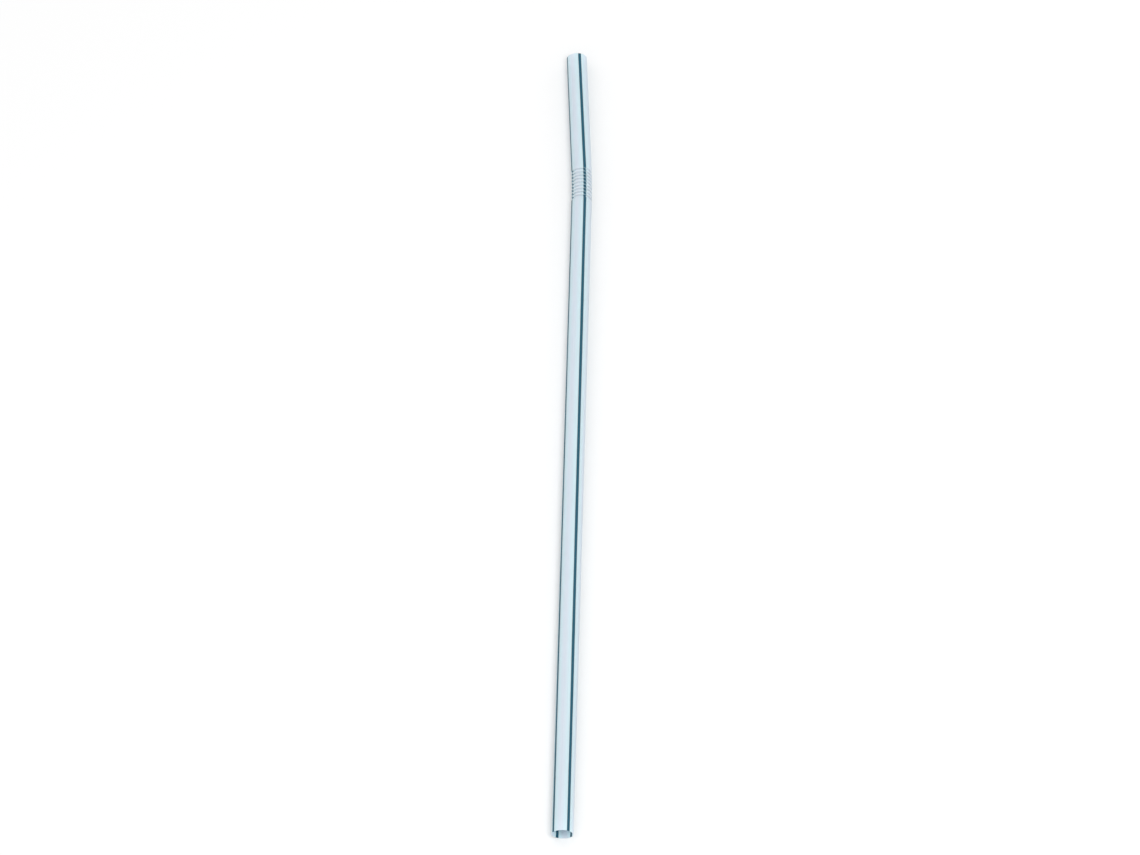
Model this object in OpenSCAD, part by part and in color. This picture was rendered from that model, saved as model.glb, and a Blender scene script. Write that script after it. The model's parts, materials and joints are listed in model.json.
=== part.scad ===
// Flexible drinking straw: one thin extruded tube, pleated near the mouth so that it can bend.
// It lies on its side on the plane Z = 0, with its foot towards -Y and its mouthpiece towards +Y.
// The flex is pushed closed, and its slight set leans the mouthpiece towards -X.

/* [Tube] */
// Outside diameter of the tube
tube_d = 5; // [4:0.1:8]
// Thickness of the tube's wall
wall = 0.18; // [0.14:0.01:0.24]
// Length of the plain leg, from the foot to the flex
leg_len = 166; // [80:1:240]
// Length of the plain mouthpiece, from the flex to the mouth
mouth_len = 33; // [15:1:60]

/* [Flex] */
// Number of pleats
pleats = 9; // [4:1:14]
// Step from one crest to the next, with the flex pushed closed
pleat_pitch = 0.95; // [0.85:0.05:1.3]
// Depth from the crests down to the valleys
pleat_depth = 0.45; // [0.4:0.05:0.6]
// How far a valley lies beyond the next crest, so that each pleat tucks under its neighbour
tuck = 0.3; // [0.2:0.05:0.4]
// How much the wall swells where it is folded over
fold_swell = 0.04; // [0.03:0.01:0.05]
// Angle between the leg and the mouthpiece, in degrees
bend = 3.5; // [0:0.5:6]

/* [Hidden] */
$fn = 72;

// Straight steps that draw one round fold
fold_steps = 4;

tube_r = tube_d / 2;
bore_r = tube_r - wall;
half_wall = wall / 2;
fold_r = half_wall + fold_swell;
bend_step = bend / pleats;

// The profile is drawn in the plane of radius and height, with the first crest at height 0.
// Each pleat runs in along a long flank, turns at its valley and comes back out along a short one.
crest = [tube_r - fold_r, 0];
valley = crest + [-pleat_depth, pleat_pitch + tuck];
next_crest = crest + [0, pleat_pitch];
long_way = heading(crest, valley);
short_way = heading(valley, next_crest);

// Half the angle that a fold takes up where a flank runs into it
flank_span = asin(half_wall / fold_r);

// Direction from one point of the profile to another
function heading(from, to) = atan2(to[1] - from[1], to[0] - from[0]);

// Point at a distance and an angle from a centre
function polar(centre, distance, angle) = centre + distance * [cos(angle), sin(angle)];

// Points round a fold, counterclockwise from one angle to another
function fold(centre, from, to) =
    [for (i = [0:fold_steps]) polar(centre, fold_r, from + (to - from) * i / fold_steps)];

// Height at which a face of the long flank has a given radius: side is -90 for its outer face, 90 for its inner one
function flank_height(radius, side) =
    let (start = polar(crest, half_wall, long_way + side))
    start[1] + (radius - start[0]) * tan(long_way);

// Where the outer faces of the two flanks of a pleat meet, just short of its valley
function pleat_root() =
    let (half_angle = (short_way - long_way + 180) / 2)
    polar(valley, half_wall / sin(half_angle), short_way - half_angle);

// The part of the profile that every pleat shares: root, short flank out to the next crest and back, valley
function turn_back() = concat(
    [pleat_root(),
     polar(next_crest, half_wall, short_way - 90),
     polar(next_crest, half_wall, short_way + 90)],
    fold(valley, short_way + flank_span, long_way + 180 - flank_span));

// The tube from the foot up to the flex, with the first pleat on its end
function leg_profile() = concat(
    [[bore_r, -leg_len],
     [tube_r, -leg_len],
     [tube_r, flank_height(tube_r, -90)]],
    turn_back(),
    [[bore_r, flank_height(bore_r, 90)]]);

// A pleat by itself, which starts with the fold at its own crest
function pleat_profile() = concat(
    fold(crest, long_way + flank_span, long_way + 360 - flank_span),
    turn_back());

// The tube from the last crest up to the mouth
function mouth_profile() = concat(
    fold(crest, 180 - acos((crest[0] - bore_r) / fold_r), 360),
    [[tube_r, mouth_len],
     [bore_r, mouth_len]]);

// Centre of a crest, as its place across and along the leg, with the bend shared out over the pleats
function crest_at(k) = k == 0
    ? [0, 0]
    : crest_at(k - 1) + pleat_pitch * [-sin((k - 1) * bend_step), cos((k - 1) * bend_step)];

// Middle of the mouth, and the corner of the whole straw that it sets
mouth_at = crest_at(pleats) + mouth_len * [-sin(bend), cos(bend)];
far_left = mouth_at[0] - tube_r * cos(bend);
far_end = mouth_at[1] + tube_r * sin(bend);

// Turns a profile round the tube's axis, at the place and the lean of its crest
module ring(points, k) {
    translate([crest_at(k)[0], 0, crest_at(k)[1]])
        rotate([0, -k * bend_step, 0])
            rotate_extrude()
                polygon(points);
}

module straw() {
    color("aliceblue")
        translate([-(tube_r + far_left) / 2, (leg_len - far_end) / 2, tube_r])
            rotate([-90, 0, 0])
                union() {
                    ring(leg_profile(), 0);
                    for (k = [1:pleats - 1]) {
                        ring(pleat_profile(), k);
                    }
                    ring(mouth_profile(), pleats);
                }
}

straw();
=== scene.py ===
import json
import math
from functools import partial

import bpy
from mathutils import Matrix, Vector


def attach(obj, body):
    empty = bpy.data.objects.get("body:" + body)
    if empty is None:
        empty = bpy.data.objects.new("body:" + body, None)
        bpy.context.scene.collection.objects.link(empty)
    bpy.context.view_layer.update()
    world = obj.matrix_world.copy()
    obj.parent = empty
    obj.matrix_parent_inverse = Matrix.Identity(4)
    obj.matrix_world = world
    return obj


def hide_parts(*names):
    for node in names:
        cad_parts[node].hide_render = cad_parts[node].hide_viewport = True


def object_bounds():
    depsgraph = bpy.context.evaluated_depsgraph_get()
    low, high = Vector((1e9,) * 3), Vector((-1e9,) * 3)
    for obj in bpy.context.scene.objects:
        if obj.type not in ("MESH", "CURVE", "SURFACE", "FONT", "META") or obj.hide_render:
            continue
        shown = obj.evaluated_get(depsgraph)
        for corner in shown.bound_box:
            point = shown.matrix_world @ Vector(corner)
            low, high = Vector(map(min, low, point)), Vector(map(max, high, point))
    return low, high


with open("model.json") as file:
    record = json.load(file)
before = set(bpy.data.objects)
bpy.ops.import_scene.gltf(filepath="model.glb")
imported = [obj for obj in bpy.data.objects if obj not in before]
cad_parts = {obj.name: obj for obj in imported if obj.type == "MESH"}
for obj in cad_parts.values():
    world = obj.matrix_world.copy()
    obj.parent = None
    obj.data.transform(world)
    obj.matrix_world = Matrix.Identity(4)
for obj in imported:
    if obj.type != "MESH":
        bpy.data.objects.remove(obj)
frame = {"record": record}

cad_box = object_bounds()

# A flexible drinking straw on white paper. Its sizes are in millimetres, and MM turns them into metres.
MM = 0.001

# What the frame states: the tube's two radii, where its foot is, how long the mouthpiece is, and which
# way the two ends point
mounts = {mount["name"]: mount for mount in frame["record"]["mounts"]}
tube_r = mounts["leg"]["dims"]["r_mm"]
bore_r = mounts["foot_bore"]["dims"]["r_mm"]
foot = Vector(mounts["leg"]["pos_m"])
foot_axis = Vector(mounts["leg"]["axis"]).normalized()
mouth_axis = Vector(mounts["mouthpiece"]["axis"]).normalized()
mouth_len = mounts["mouthpiece"]["dims"]["length_mm"]
wall = tube_r - bore_r
bend = (-foot_axis).angle(mouth_axis)

# The leg and the flex, sized as the CAD part is: TUCK is how far a valley lies beyond the next crest,
# and VALLEY_BORE_R is the radius of the bore that the valleys leave free
LEG_LEN = 166.0
PLEATS = 9
PLEAT_PITCH = 0.95
TUCK = 0.3
VALLEY_BORE_R = 1.79

# Radius at which the middle of the film turns over in a fold
FOLD_R = 0.105

# How finely the straw is drawn: rings along its plain lengths, points round a fold, sides round the tube
LEG_RINGS = 48
MOUTH_RINGS = 24
FOLD_POINTS = 9
SIDES = 128

# How far the film of an extruded tube may stray inwards from a true cylinder, and over what length
WOBBLE = 0.03
WOBBLE_LEN = 14.0
WOBBLE_SEED = 7.0

# Stripes: narrow bands run the whole length, evenly spaced, and creep round the tube as they go.
# The turn is where one of them crosses the first crest, measured round the tube from +X, downwards,
# and the creep is how far it goes on turning for each millimetre towards the mouth.
STRIPES = 4
STRIPE_W = 0.74
STRIPE_TURN = math.radians(-71)
STRIPE_CREEP = math.radians(-0.0785)

# A stripe's edge is soft and drifts a little, and beside it the film is painted lighter and cyan,
# as a painted glow of light tinted by the stripe
EDGE_SOFT = 0.04
EDGE_DRIFT = 0.05
PAINTED_GLOW_W = 1.6
PAINTED_GLOW = 0.9

# Width and length of the patches of each pattern on the film. A real straw's die lines are finer than
# these, which are drawn a quarter of a millimetre apart so that they show in a close view.
DRIFT_SIZE = (2.5, 20.0)
DIE_LINE_SIZE = (0.25, 50.0)
CLOUD_SIZE = (3.3, 8.3)

# The milky film varies in clouds between the first two colours, and takes the third beside a stripe,
# a painted glow of light tinted by the stripe.
# The last number is how far a full crease takes the film towards its two creased colours, which are
# whitened by the crease and also painted lighter as a highlight on the folds.
MILKY_DULL = "#EAF2FA"
MILKY_BRIGHT = "#F1F6FC"
MILKY_PAINTED_GLOW = "#E7FBFF"
MILKY_WHITENED_HIGHLIT = "#F6F9FC"
STRIPE_BLUE = "#2A677D"
STRIPE_WHITENED_HIGHLIT = "#B4D9E8"
WHITENING_AND_HIGHLIGHT = 0.6

# The film's lowest and highest roughness, how deep the die lines are and how strongly they show, and the
# share of the light that goes through
GLOSSIEST = 0.22
DULLEST = 0.38
DIE_LINE_DEPTH = 0.01
DIE_LINE_STRENGTH = 0.3
POLYPROPYLENE_IOR = 1.49
LET_THROUGH = 0.4

# The paper, in metres: its half size, and the light that keeps it white to the eye. That light is
# LIFT_NEAR up to NEAR from the paper's middle, and grows to LIFT_FAR at FAR from it.
PAPER = "#E9E9E9"
PAPER_HALF = 3.0
LIFT_NEAR = 0.12
LIFT_FAR = 0.4
NEAR = 0.15
FAR = 0.8

# The light: an even white room and one soft box, with its place and size in metres and its power in watts
ROOM_LIGHT = 0.82
BOX_PLACE = (0.2, -0.3, 0.9)
BOX_SIZE = 0.4
BOX_POWER = 3.3

# The photograph's view: from the foot's side, well above and a metre away. The lens is in millimetres.
VIEW_AZIMUTH = math.radians(1.55)
VIEW_ELEVATION = math.radians(61.5)
VIEW_DISTANCE = 1.03
LENS = 138
SENSOR_W = 36

WHITE = (1, 1, 1, 1)


def linear(colour):
    """An sRGB hex colour as linear red, green, blue and alpha."""
    parts = [int(colour[i:i + 2], 16) / 255 for i in (1, 3, 5)]
    return [c / 12.92 if c <= 0.04045 else ((c + 0.055) / 1.055) ** 2.4 for c in parts] + [1.0]


def node(tree, kind, links=None, **settings):
    """Adds a node with its settings. links gives inputs, by name or place, a value, a node or an output."""
    made = tree.nodes.new(kind)
    for name, value in settings.items():
        setattr(made, name, value)
    for key, value in (links or {}).items():
        named = [s for s in made.inputs if s.enabled and s.name == key]
        socket = made.inputs[key] if isinstance(key, int) else named[0]
        if isinstance(value, bpy.types.Node):
            value = next(s for s in value.outputs if s.enabled)
        if isinstance(value, bpy.types.NodeSocket):
            tree.links.new(value, socket)
        else:
            socket.default_value = value
    return made


def pleat_shape():
    """Radii of the crests' and valleys' centres, and the directions of a pleat's long and short flank.

    A flank is the line that leaves one fold and meets the next, which turns the other way. The directions
    are angles in the plane of radius and height: the long flank runs inwards, and the short one outwards."""
    crest_r = tube_r - wall / 2 - FOLD_R
    valley_r = VALLEY_BORE_R + wall / 2 + FOLD_R
    depth = crest_r - valley_r
    lean_long = math.asin(2 * FOLD_R / math.hypot(depth, PLEAT_PITCH + TUCK))
    lean_short = math.asin(2 * FOLD_R / math.hypot(depth, TUCK))
    long_way = math.atan2(PLEAT_PITCH + TUCK, -depth) + lean_long
    short_way = math.atan2(-TUCK, depth) - lean_short
    return crest_r, valley_r, long_way, short_way


def film_sizes(material):
    """The inputs of the film's tree: for each name, its kind of socket and its value."""
    crest_r, valley_r, long_way, short_way = pleat_shape()
    quarter = math.pi / 2
    return {
        "Tube Radius": ("NodeSocketFloat", tube_r),
        "Film Radius": ("NodeSocketFloat", tube_r - wall / 2),
        "Leg Length": ("NodeSocketFloat", LEG_LEN),
        "Mouthpiece Length": ("NodeSocketFloat", mouth_len),
        "Pleats": ("NodeSocketInt", PLEATS),
        "Pleat Pitch": ("NodeSocketFloat", PLEAT_PITCH),
        "Tuck": ("NodeSocketFloat", TUCK),
        "Fold Radius": ("NodeSocketFloat", FOLD_R),
        "Crest Radius": ("NodeSocketFloat", crest_r),
        "Valley Radius": ("NodeSocketFloat", valley_r),
        "Valley From": ("NodeSocketFloat", long_way + quarter),
        "Valley To": ("NodeSocketFloat", short_way + quarter),
        "Crest From": ("NodeSocketFloat", short_way - quarter),
        "Crest To": ("NodeSocketFloat", long_way - quarter),
        "Fold Points": ("NodeSocketInt", FOLD_POINTS),
        "Leg Rings": ("NodeSocketInt", LEG_RINGS),
        "Mouthpiece Rings": ("NodeSocketInt", MOUTH_RINGS),
        "Sides": ("NodeSocketInt", SIDES),
        "Bend": ("NodeSocketFloat", bend),
        "Wobble": ("NodeSocketFloat", WOBBLE),
        "Wobble Length": ("NodeSocketFloat", WOBBLE_LEN),
        "Seed": ("NodeSocketFloat", WOBBLE_SEED),
        "First Crest": ("NodeSocketVector", foot - foot_axis * LEG_LEN * MM),
        "Material": ("NodeSocketMaterial", material),
    }


def plain_path(tree, radius, rings, length, start):
    """The film's path along a plain length of tube, with rings crowded towards both its ends."""
    add = partial(node, tree)
    index = add("GeometryNodeInputIndex")
    last = add("ShaderNodeMath", {0: rings, 1: 1}, operation="SUBTRACT")
    share = add("ShaderNodeMath", {0: index, 1: last}, operation="DIVIDE")
    half_turn = add("ShaderNodeMath", {0: share, 1: math.pi}, operation="MULTIPLY")
    wave = add("ShaderNodeMath", {0: half_turn}, operation="COSINE")
    eased = add("ShaderNodeMapRange", {
        "Value": wave, "From Min": 1, "From Max": -1, "To Min": 0, "To Max": length,
    })
    height = add("ShaderNodeMath", {0: start, 1: eased}, operation="ADD")
    place = add("ShaderNodeCombineXYZ", {"X": radius, "Z": height})
    line = add("GeometryNodeMeshLine", {"Count": rings})
    return add("GeometryNodeSetPosition", {"Geometry": line, "Position": place})


def pleated_path(tree, given):
    """The film's path through the pleats. Every fold is an arc: a valley, and then the crest below it."""
    add = partial(node, tree)
    index = add("GeometryNodeInputIndex")

    # Which fold a point is on, and how far round it
    fold = add("ShaderNodeMath", {0: index, 1: given["Fold Points"]}, operation="DIVIDE")
    fold = add("ShaderNodeMath", {0: fold}, operation="FLOOR")
    is_crest = add("ShaderNodeMath", {0: fold, 1: 2}, operation="MODULO")
    pleat = add("ShaderNodeMath", {0: fold, 1: 2}, operation="DIVIDE")
    pleat = add("ShaderNodeMath", {0: pleat}, operation="FLOOR")
    next_crest = add("ShaderNodeMath", {0: pleat, 1: 1}, operation="ADD")
    is_last = add("ShaderNodeMath", {0: next_crest, 1: given["Pleats"], 2: 0.5}, operation="COMPARE")
    last_point = add("ShaderNodeMath", {0: given["Fold Points"], 1: 1}, operation="SUBTRACT")
    point = add("ShaderNodeMath", {0: index, 1: given["Fold Points"]}, operation="MODULO")
    share = add("ShaderNodeMath", {0: point, 1: last_point}, operation="DIVIDE")

    # The arc's two ends: the last crest stops where it runs into the mouthpiece
    crest_to = add("ShaderNodeMix", {"Factor": is_last, "A": given["Crest To"], "B": 0.0})
    start = add("ShaderNodeMix", {"Factor": is_crest, "A": given["Valley From"], "B": given["Crest From"]})
    end = add("ShaderNodeMix", {"Factor": is_crest, "A": given["Valley To"], "B": crest_to})
    angle = add("ShaderNodeMix", {"Factor": share, "A": start, "B": end})

    # The arc's centre, and the point on it
    centre_r = add("ShaderNodeMix", {
        "Factor": is_crest, "A": given["Valley Radius"], "B": given["Crest Radius"],
    })
    rise = add("ShaderNodeMix", {"Factor": is_crest, "A": given["Tuck"], "B": 0.0})
    centre_h = add("ShaderNodeMath", {
        0: next_crest, 1: given["Pleat Pitch"], 2: rise,
    }, operation="MULTIPLY_ADD")
    across = add("ShaderNodeMath", {0: angle}, operation="COSINE")
    along = add("ShaderNodeMath", {0: angle}, operation="SINE")
    radius = add("ShaderNodeMath", {
        0: across, 1: given["Fold Radius"], 2: centre_r,
    }, operation="MULTIPLY_ADD")
    height = add("ShaderNodeMath", {
        0: along, 1: given["Fold Radius"], 2: centre_h,
    }, operation="MULTIPLY_ADD")
    place = add("ShaderNodeCombineXYZ", {"X": radius, "Z": height})
    folds = add("ShaderNodeMath", {0: given["Pleats"], 1: 2}, operation="MULTIPLY")
    count = add("ShaderNodeMath", {0: folds, 1: given["Fold Points"]}, operation="MULTIPLY")
    line = add("GeometryNodeMeshLine", {"Count": count})
    path = add("GeometryNodeSetPosition", {"Geometry": line, "Position": place})

    # How sharply the film is creased: most at the middle of a fold, and not at all where the flanks start
    half_turn = add("ShaderNodeMath", {0: share, 1: math.pi}, operation="MULTIPLY")
    crease = add("ShaderNodeMath", {0: half_turn}, operation="SINE")
    return add("GeometryNodeStoreNamedAttribute", {
        "Geometry": path, "Name": "crease", "Value": crease,
    }, data_type="FLOAT", domain="POINT")


def turned_film(tree, given, path):
    """The path turned round the tube's axis, which stands upright here with the first crest at height 0.

    The grid has a row for each point of the path, and columns all the way round, the last on top of the
    first. Gives the grid, its points' places on the wavy film, their heights, their places on a true tube
    for the patterns, and the crease."""
    add = partial(node, tree)
    index = add("GeometryNodeInputIndex")
    path_size = add("GeometryNodeAttributeDomainSize", {"Geometry": path}, component="MESH")
    columns = add("ShaderNodeMath", {0: given["Sides"], 1: 1}, operation="ADD")
    grid = add("GeometryNodeMeshGrid", {
        "Vertices X": path_size.outputs["Point Count"], "Vertices Y": columns,
    })
    row = add("ShaderNodeMath", {0: index, 1: columns}, operation="DIVIDE")
    row = add("ShaderNodeMath", {0: row}, operation="FLOOR")
    column = add("ShaderNodeMath", {0: index, 1: columns}, operation="MODULO")
    share = add("ShaderNodeMath", {0: column, 1: given["Sides"]}, operation="DIVIDE")
    angle = add("ShaderNodeMath", {0: share, 1: math.tau}, operation="MULTIPLY")

    # What the path has at this row
    spot = add("GeometryNodeInputPosition")
    spot = add("GeometryNodeSampleIndex", {
        "Geometry": path, "Value": spot, "Index": row,
    }, data_type="FLOAT_VECTOR", domain="POINT")
    spot = add("ShaderNodeSeparateXYZ", {"Vector": spot})
    crease = add("GeometryNodeInputNamedAttribute", {"Name": "crease"}, data_type="FLOAT")
    crease = add("GeometryNodeSampleIndex", {
        "Geometry": path, "Value": crease, "Index": row,
    }, data_type="FLOAT", domain="POINT")

    # The same spot on a true tube
    across = add("ShaderNodeMath", {0: angle}, operation="COSINE")
    away = add("ShaderNodeMath", {0: angle}, operation="SINE")
    outwards = add("ShaderNodeCombineXYZ", {"X": across, "Y": away})
    upright = add("ShaderNodeCombineXYZ", {"Z": spot.outputs["Z"]})
    on_tube = add("ShaderNodeVectorMath", {
        0: outwards, 1: given["Tube Radius"], 2: upright,
    }, operation="MULTIPLY_ADD")

    # The film strays a little inwards from the true tube, as one does that was cooled on the run
    patch = add("ShaderNodeVectorMath", {0: on_tube, 1: given["Wobble Length"]}, operation="DIVIDE")
    stray = add("ShaderNodeTexNoise", {
        "Vector": patch, "W": given["Seed"], "Scale": 1.0, "Detail": 1.0,
    }, noise_dimensions="4D")
    stray = add("ShaderNodeMapRange", {"Value": stray.outputs["Fac"], "To Min": -1.0, "To Max": 0.0})
    radius = add("ShaderNodeMath", {
        0: stray, 1: given["Wobble"], 2: spot.outputs["X"],
    }, operation="MULTIPLY_ADD")
    place = add("ShaderNodeVectorMath", {0: outwards, "Scale": radius}, operation="SCALE")
    return grid, place, spot.outputs["Z"], on_tube, crease


def bent(tree, given, flex_len, place, height):
    """The film's places, bent on an arc as long as the flex that starts half a pleat above the first crest.

    A point is lowered by its length on the arc and then turned about the arc's centre."""
    add = partial(node, tree)
    start = add("ShaderNodeMath", {0: given["Pleat Pitch"], 1: 0.5}, operation="MULTIPLY")
    past_start = add("ShaderNodeMath", {0: height, 1: start}, operation="SUBTRACT")
    on_arc = add("ShaderNodeClamp", {"Value": past_start, "Min": 0.0, "Max": flex_len})
    arc_r = add("ShaderNodeMath", {0: flex_len, 1: given["Bend"]}, operation="DIVIDE")
    angle = add("ShaderNodeMath", {0: on_arc, 1: arc_r}, operation="DIVIDE")
    angle = add("ShaderNodeMath", {0: angle, 1: -1}, operation="MULTIPLY")
    lowered = add("ShaderNodeMath", {0: height, 1: on_arc}, operation="SUBTRACT")
    lowered = add("ShaderNodeCombineXYZ", {"Z": lowered})
    lowered = add("ShaderNodeVectorMath", {0: place, 1: lowered}, operation="ADD")
    side = add("ShaderNodeMath", {0: arc_r, 1: -1}, operation="MULTIPLY")
    centre = add("ShaderNodeCombineXYZ", {"X": side, "Z": start})
    return add("ShaderNodeVectorRotate", {
        "Vector": lowered, "Center": centre, "Axis": (0, 1, 0), "Angle": angle,
    }, rotation_type="AXIS_ANGLE")


def film_tree(material):
    """Geometry Nodes tree of the film, and the values of its inputs.

    The path of the film is drawn once, in millimetres, turned round the tube's axis and bent over the
    length of the flex. Then the straw is laid down along Y and brought to metres."""
    tree = bpy.data.node_groups.new("pleated_film", "GeometryNodeTree")
    sizes = film_sizes(material)
    for name, (kind, _) in sizes.items():
        tree.interface.new_socket(name, in_out="INPUT", socket_type=kind)
    tree.interface.new_socket("Geometry", in_out="OUTPUT", socket_type="NodeSocketGeometry")
    add = partial(node, tree)
    given = add("NodeGroupInput").outputs

    foot_height = add("ShaderNodeMath", {0: given["Leg Length"], 1: -1}, operation="MULTIPLY")
    flex_len = add("ShaderNodeMath", {0: given["Pleats"], 1: given["Pleat Pitch"]}, operation="MULTIPLY")
    leg = plain_path(tree, given["Film Radius"], given["Leg Rings"], given["Leg Length"], foot_height)
    pleats = pleated_path(tree, given)
    mouthpiece = plain_path(
        tree, given["Film Radius"], given["Mouthpiece Rings"], given["Mouthpiece Length"], flex_len)
    # The node joins its parts from the newest link to the oldest, so the leg is linked last to come first
    path = add("GeometryNodeJoinGeometry")
    for part in (mouthpiece, pleats, leg):
        tree.links.new(part.outputs["Geometry"], path.inputs["Geometry"])

    film, place, height, on_tube, crease = turned_film(tree, given, path)
    place = bent(tree, given, flex_len, place, height)
    film = add("GeometryNodeStoreNamedAttribute", {
        "Geometry": film, "Name": "film", "Value": on_tube,
    }, data_type="FLOAT_VECTOR", domain="POINT")
    film = add("GeometryNodeStoreNamedAttribute", {
        "Geometry": film, "Name": "crease", "Value": crease,
    }, data_type="FLOAT", domain="POINT")
    film = add("GeometryNodeSetPosition", {"Geometry": film, "Position": place})
    # Closes the seam, where the grid's first and last column meet
    film = add("GeometryNodeMergeByDistance", {"Geometry": film, "Distance": 0.0005})
    film = add("GeometryNodeTransform", {
        "Geometry": film,
        "Translation": given["First Crest"],
        "Rotation": (-math.pi / 2, 0, 0),
        "Scale": (MM, MM, MM),
    })
    film = add("GeometryNodeSetShadeSmooth", {"Geometry": film})
    film = add("GeometryNodeRealizeInstances", {"Geometry": film})
    film = add("GeometryNodeSetMaterial", {"Geometry": film, "Material": given["Material"]})
    add("NodeGroupOutput", {"Geometry": film})
    return tree, {name: value for name, (_, value) in sizes.items()}


def make_straw(material):
    """The straw: the film of the tree above, given its thickness and turned into a plain mesh."""
    tree, values = film_tree(material)
    draft = bpy.data.objects.new("draft", bpy.data.meshes.new("draft"))
    bpy.context.scene.collection.objects.link(draft)
    maker = draft.modifiers.new("film", "NODES")
    maker.node_group = tree
    for socket in tree.interface.items_tree:
        if socket.in_out == "INPUT":
            maker[socket.identifier] = values[socket.name]
    shell = draft.modifiers.new("thickness", "SOLIDIFY")
    shell.thickness = wall * MM
    shell.offset = 0.0
    shell.use_even_offset = True
    shell.use_quality_normals = True
    bpy.context.view_layer.update()
    finished = draft.evaluated_get(bpy.context.evaluated_depsgraph_get())
    mesh = bpy.data.meshes.new_from_object(finished)
    draft.modifiers.clear()
    bpy.data.objects.remove(draft)
    mesh.name = "pleated_straw"
    # The cut ends keep their crisp edges
    mesh.set_sharp_from_angle(angle=math.radians(60))
    straw = bpy.data.objects.new("pleated_straw", mesh)
    bpy.context.scene.collection.objects.link(straw)
    return straw


def emptied(owner):
    """The node tree of a material or a world, with nothing in it yet."""
    owner.use_nodes = True
    owner.node_tree.nodes.clear()
    return owner.node_tree


def film_pattern(tree, film, size, detail):
    """Noise on the film, whose patches have the given width round the tube and length along it."""
    width, length = size
    place = node(tree, "ShaderNodeMapping", {
        "Vector": film.outputs["Vector"], "Scale": (1 / width, 1 / width, 1 / length),
    })
    return node(tree, "ShaderNodeTexNoise", {"Vector": place, "Scale": 1.0, "Detail": detail}).outputs["Fac"]


def polypropylene_film():
    """Polypropylene, extruded: milky, lets light through without showing what is behind it, softly glossy,
    with faint lines along it from the die, a painted glow of tinted light beside its stripes, and whiter
    where it is creased, partly as a painted highlight on the folds."""
    material = bpy.data.materials.new("extruded_polypropylene")
    tree = emptied(material)
    add = partial(node, tree)
    film = add("ShaderNodeAttribute", attribute_name="film")
    crease = add("ShaderNodeAttribute", attribute_name="crease")

    # Distance round the film from the middle of the nearest stripe
    place = add("ShaderNodeSeparateXYZ", {"Vector": film.outputs["Vector"]})
    angle = add("ShaderNodeMath", {
        0: place.outputs["Y"], 1: place.outputs["X"],
    }, operation="ARCTAN2")
    middle = add("ShaderNodeMath", {
        0: place.outputs["Z"], 1: STRIPE_CREEP, 2: STRIPE_TURN,
    }, operation="MULTIPLY_ADD")
    turned = add("ShaderNodeMath", {0: angle, 1: middle}, operation="SUBTRACT")
    half_step = math.pi / STRIPES
    off = add("ShaderNodeMath", {0: turned, 1: half_step, 2: -half_step}, operation="WRAP")
    off = add("ShaderNodeMath", {0: off, 1: tube_r}, operation="MULTIPLY")
    off = add("ShaderNodeMath", {0: off}, operation="ABSOLUTE")

    # 1 on a stripe and 0 off it, and the painted glow of tinted light beside it, from its edge outwards
    drift = film_pattern(tree, film, DRIFT_SIZE, 2.0)
    half_w = add("ShaderNodeMapRange", {
        "Value": drift, "To Min": STRIPE_W / 2 - EDGE_DRIFT, "To Max": STRIPE_W / 2 + EDGE_DRIFT,
    })
    beyond = add("ShaderNodeMath", {0: off, 1: half_w}, operation="SUBTRACT")
    stripe = add("ShaderNodeMapRange", {
        "Value": beyond, "From Min": -EDGE_SOFT, "From Max": EDGE_SOFT, "To Min": 1.0, "To Max": 0.0,
    }, interpolation_type="SMOOTHSTEP")
    painted_glow = add("ShaderNodeMapRange", {
        "Value": beyond, "From Min": 0.0, "From Max": PAINTED_GLOW_W, "To Min": PAINTED_GLOW, "To Max": 0.0,
    }, interpolation_type="SMOOTHSTEP")

    # The colour. Polypropylene whitens where it is creased, which breaks the stripes into dashes in the
    # flex, and the whitening is also a painted highlight on the folds
    cloud = film_pattern(tree, film, CLOUD_SIZE, 3.0)
    whitened_and_highlit = add("ShaderNodeMath", {0: crease.outputs["Fac"], 1: WHITENING_AND_HIGHLIGHT}, operation="MULTIPLY")
    milky = add("ShaderNodeMix", {
        "Factor": cloud, "A": linear(MILKY_DULL), "B": linear(MILKY_BRIGHT),
    }, data_type="RGBA")
    # Beside a stripe the film takes a painted glow of light tinted by the stripe
    milky = add("ShaderNodeMix", {
        "Factor": painted_glow, "A": milky.outputs[2], "B": linear(MILKY_PAINTED_GLOW),
    }, data_type="RGBA")
    milky = add("ShaderNodeMix", {
        "Factor": whitened_and_highlit, "A": milky.outputs[2], "B": linear(MILKY_WHITENED_HIGHLIT),
    }, data_type="RGBA")
    blue = add("ShaderNodeMix", {
        "Factor": whitened_and_highlit, "A": linear(STRIPE_BLUE), "B": linear(STRIPE_WHITENED_HIGHLIT),
    }, data_type="RGBA")
    colour = add("ShaderNodeMix", {
        "Factor": stripe, "A": milky.outputs[2], "B": blue.outputs[2],
    }, data_type="RGBA").outputs[2]

    # The die lines show in the gloss and as very shallow grooves
    lines = film_pattern(tree, film, DIE_LINE_SIZE, 3.0)
    rough = add("ShaderNodeMapRange", {
        "Value": lines, "From Min": 0.3, "From Max": 0.7, "To Min": GLOSSIEST, "To Max": DULLEST,
    })
    grooves = add("ShaderNodeBump", {
        "Strength": DIE_LINE_STRENGTH, "Distance": DIE_LINE_DEPTH * MM, "Height": lines,
    })
    front = add("ShaderNodeBsdfPrincipled", {
        "Base Color": colour, "Roughness": rough, "IOR": POLYPROPYLENE_IOR, "Normal": grooves,
    })
    through = add("ShaderNodeBsdfTranslucent", {"Color": colour})
    both = add("ShaderNodeMixShader", {"Fac": LET_THROUGH, 1: front, 2: through})
    add("ShaderNodeOutputMaterial", {"Surface": both})
    return material


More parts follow.
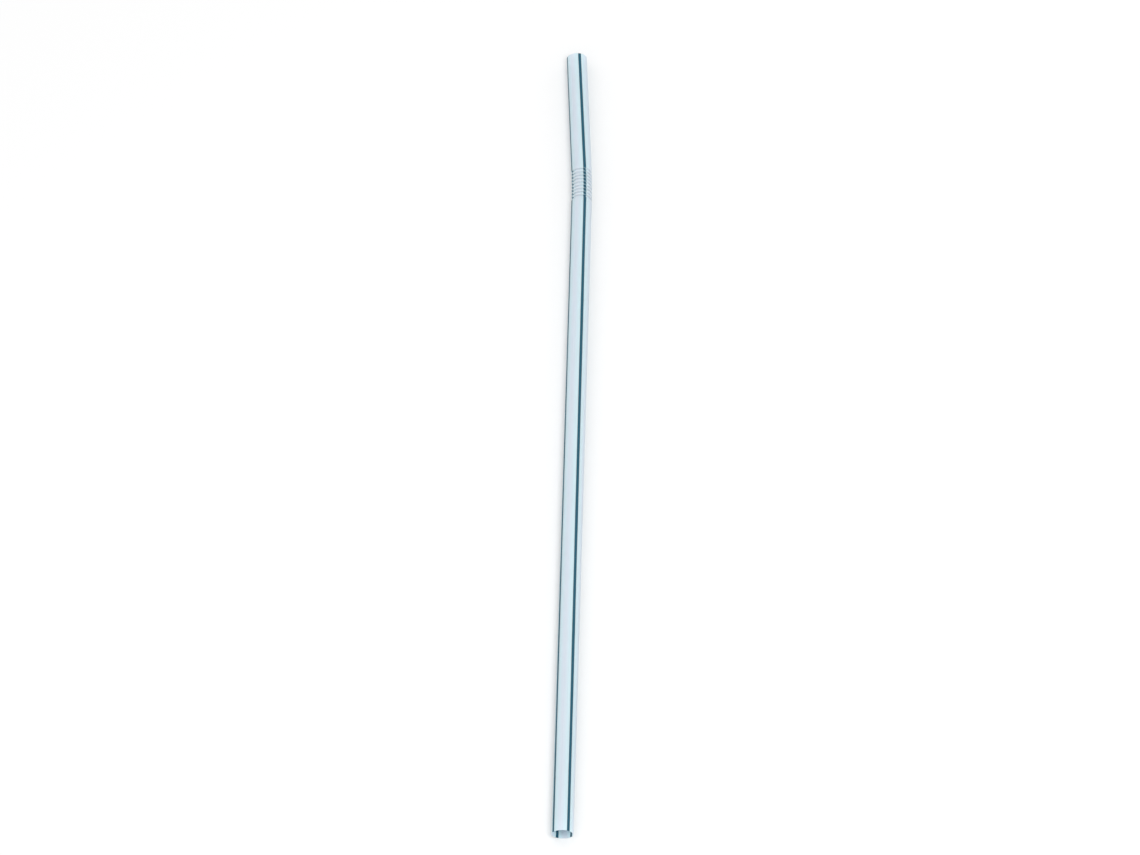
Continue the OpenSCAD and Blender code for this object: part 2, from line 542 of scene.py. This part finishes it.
def seen(tree):
    """1 on the rays that show something to the eye: from the camera, in a reflection, or through glass."""
    rays = node(tree, "ShaderNodeLightPath").outputs
    direct = node(tree, "ShaderNodeMath", {
        0: rays["Is Camera Ray"], 1: rays["Is Glossy Ray"],
    }, operation="MAXIMUM")
    return node(tree, "ShaderNodeMath", {0: direct, 1: rays["Is Transmission Ray"]}, operation="MAXIMUM")


def seamless_paper():
    """Seamless paper, uncoated: dull, and seen as plain white wherever no shadow falls on it."""
    material = bpy.data.materials.new("seamless_paper")
    tree = emptied(material)
    add = partial(node, tree)
    paper = add("ShaderNodeBsdfDiffuse", {"Color": linear(PAPER)})
    # The soft box's light falls off away from the straw, so the paper is lifted further there
    spot = add("ShaderNodeTexCoord").outputs["Object"]
    away = add("ShaderNodeVectorMath", {0: spot}, operation="LENGTH")
    lift = add("ShaderNodeMapRange", {
        "Value": away, "From Min": NEAR, "From Max": FAR, "To Min": LIFT_NEAR, "To Max": LIFT_FAR,
    }, interpolation_type="SMOOTHSTEP")
    lift = add("ShaderNodeEmission", {"Color": WHITE, "Strength": lift})
    lifted = add("ShaderNodeAddShader", {0: paper, 1: lift})
    both = add("ShaderNodeMixShader", {"Fac": seen(tree), 1: paper, 2: lifted})
    add("ShaderNodeOutputMaterial", {"Surface": both})
    return material


def make_floor():
    """A sheet of white paper under the straw."""
    corners = [(x * PAPER_HALF, y * PAPER_HALF, 0) for x, y in ((-1, -1), (1, -1), (1, 1), (-1, 1))]
    mesh = bpy.data.meshes.new("floor")
    mesh.from_pydata(corners, [], [(0, 1, 2, 3)])
    mesh.materials.append(seamless_paper())
    floor = bpy.data.objects.new("floor", mesh)
    bpy.context.scene.collection.objects.link(floor)


def make_room():
    """Even light from all round, seen as plain white."""
    world = bpy.data.worlds.new("white_room")
    bpy.context.scene.world = world
    tree = emptied(world)
    light = node(tree, "ShaderNodeBackground", {"Color": WHITE, "Strength": ROOM_LIGHT})
    white = node(tree, "ShaderNodeBackground", {"Color": WHITE, "Strength": 1.0})
    both = node(tree, "ShaderNodeMixShader", {"Fac": seen(tree), 1: light, 2: white})
    node(tree, "ShaderNodeOutputWorld", {"Surface": both})


def make_soft_box(aim):
    """A square soft box above the straw, to its right and on the foot's side, that faces the point aim."""
    lamp = bpy.data.lights.new("soft_box", "AREA")
    lamp.shape = "SQUARE"
    lamp.size = BOX_SIZE
    lamp.energy = BOX_POWER
    holder = bpy.data.objects.new("soft_box", lamp)
    holder.location = BOX_PLACE
    holder.rotation_euler = (aim - Vector(BOX_PLACE)).to_track_quat("-Z", "Y").to_euler()
    bpy.context.scene.collection.objects.link(holder)


def make_camera(aim):
    """The photograph's view of the point aim."""
    back = Vector((
        math.sin(VIEW_AZIMUTH) * math.cos(VIEW_ELEVATION),
        -math.cos(VIEW_AZIMUTH) * math.cos(VIEW_ELEVATION),
        math.sin(VIEW_ELEVATION),
    ))
    lens = bpy.data.cameras.new("camera")
    lens.sensor_width = SENSOR_W
    lens.lens = LENS
    camera = bpy.data.objects.new("camera", lens)
    camera.location = aim + back * VIEW_DISTANCE
    camera.rotation_euler = (-back).to_track_quat("-Z", "Y").to_euler()
    bpy.context.scene.collection.objects.link(camera)
    bpy.context.scene.camera = camera


bpy.context.scene.view_settings.view_transform = "Standard"

low, high = cad_box
middle = (low + high) / 2
make_camera(middle)
make_room()
make_floor()
make_soft_box(middle)

straw = make_straw(polypropylene_film())
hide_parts("straw")
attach(straw, "root")
